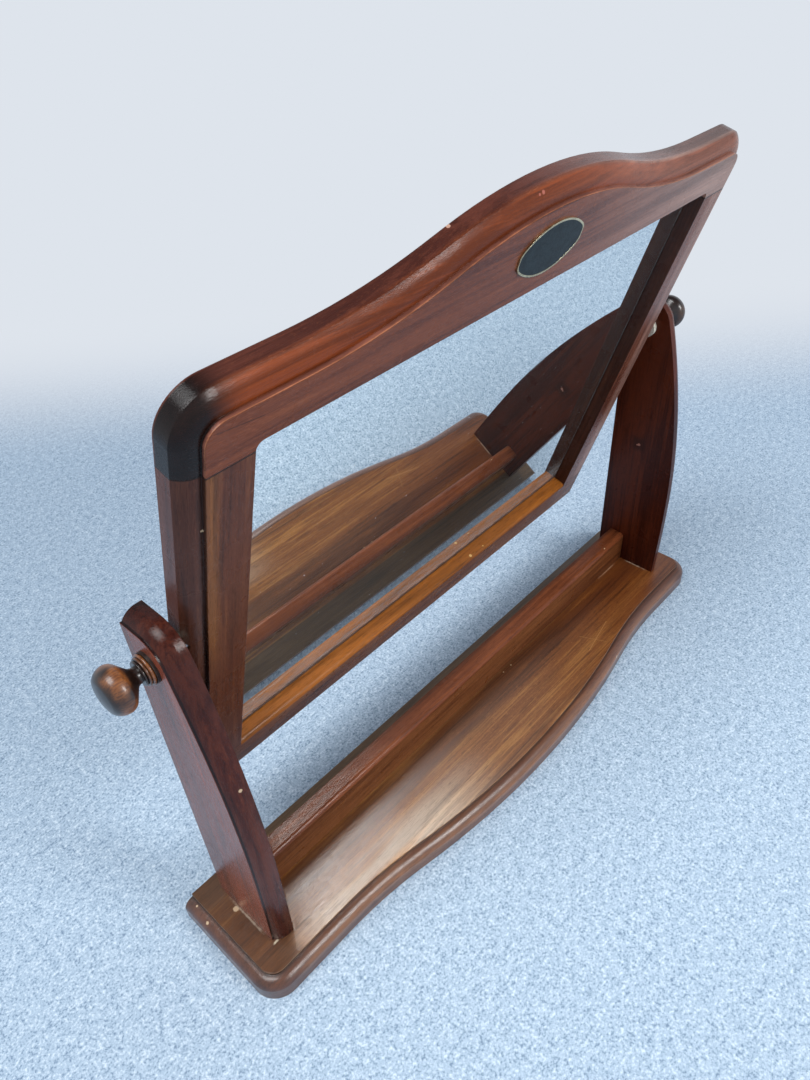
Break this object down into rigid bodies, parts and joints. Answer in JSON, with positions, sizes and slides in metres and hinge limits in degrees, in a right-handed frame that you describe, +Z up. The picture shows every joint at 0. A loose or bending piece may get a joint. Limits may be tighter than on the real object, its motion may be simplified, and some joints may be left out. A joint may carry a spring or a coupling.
{
  "type": "table mirror",
  "caption": "Free-standing table mirror: a crested, moulded frame tilts between shaped uprights on a serpentine tray base and is held by turned clamping knobs.",
  "frame": {"origin": "middle of the base board's underside, at floor level", "axes": "+X to the right along the base, +Y to the back, +Z up; the mirror faces -Y and leans forward at its top"},
  "size_m": [0.6086, 0.1642, 0.499],
  "materials": {
    "stained_wood": "reddish-brown stained hardwood under a semi-gloss lacquer",
    "turned_wood": "turned hardwood, very dark brown stain, glossy lacquer",
    "dowel_wood": "plain beech",
    "silvered_glass": "silvered float glass",
    "back_board": "hardboard, smooth brown face",
    "zinc_screw": "zinc-plated steel",
    "brass_insert": "turned brass",
    "nylon_spacer": "natural nylon",
    "dark_washer": "dark pressed fibre",
    "steel_stud": "plain steel",
    "plate_rim": "polished brass edge",
    "plate_dark": "dark enamel, plain"
  },
  "bodies": {
    "base": {"base_board": "stained_wood", "rear_rail": "stained_wood", "left_upright": "stained_wood", "right_upright": "stained_wood", "base_screws": "zinc_screw"},
    "mirror_frame": {"top_rail": "stained_wood", "left_stile": "stained_wood", "right_stile": "stained_wood", "bottom_rail": "stained_wood", "frame_dowels": "dowel_wood", "mirror_glass": "silvered_glass", "back_panel": "back_board", "panel_screws": "zinc_screw", "plate_rim_ring": "plate_rim", "plate_field": "plate_dark", "left_insert": "brass_insert", "right_insert": "brass_insert", "left_spacer": "nylon_spacer", "right_spacer": "nylon_spacer"},
    "left_pressure_washer": {"left_washer": "dark_washer"},
    "left_clamp": {"left_knob": "turned_wood", "left_stud": "steel_stud"},
    "right_pressure_washer": {"right_washer": "dark_washer"},
    "right_clamp": {"right_knob": "turned_wood", "right_stud": "steel_stud"}
  },
  "joints": [
    {"name": "mirror_tilt", "type": "hinge", "parent": "base", "child": "mirror_frame", "pos_m": [0, 0.0277, 0.2942], "axis": [1, 0, 0], "continuous": true},
    {"name": "left_knob_travel", "type": "slide", "parent": "mirror_frame", "child": "left_pressure_washer", "axis": [-1, 0, 0], "range_m": [0, 0.002]},
    {"name": "left_knob_turn", "type": "hinge", "parent": "left_pressure_washer", "child": "left_clamp", "pos_m": [-0.275, 0.0277, 0.2942], "axis": [-1, 0, 0], "range_deg": [0, 760]},
    {"name": "right_knob_travel", "type": "slide", "parent": "mirror_frame", "child": "right_pressure_washer", "axis": [1, 0, 0], "range_m": [0, 0.002]},
    {"name": "right_knob_turn", "type": "hinge", "parent": "right_pressure_washer", "child": "right_clamp", "pos_m": [0.275, 0.0277, 0.2942], "axis": [1, 0, 0], "range_deg": [0, 760]}
  ],
  "couplings": [
    {"joint": "left_knob_turn", "follows": "left_knob_travel", "rad_per_m": 6283.2},
    {"joint": "right_knob_turn", "follows": "right_knob_travel", "rad_per_m": 6283.2}
  ]
}
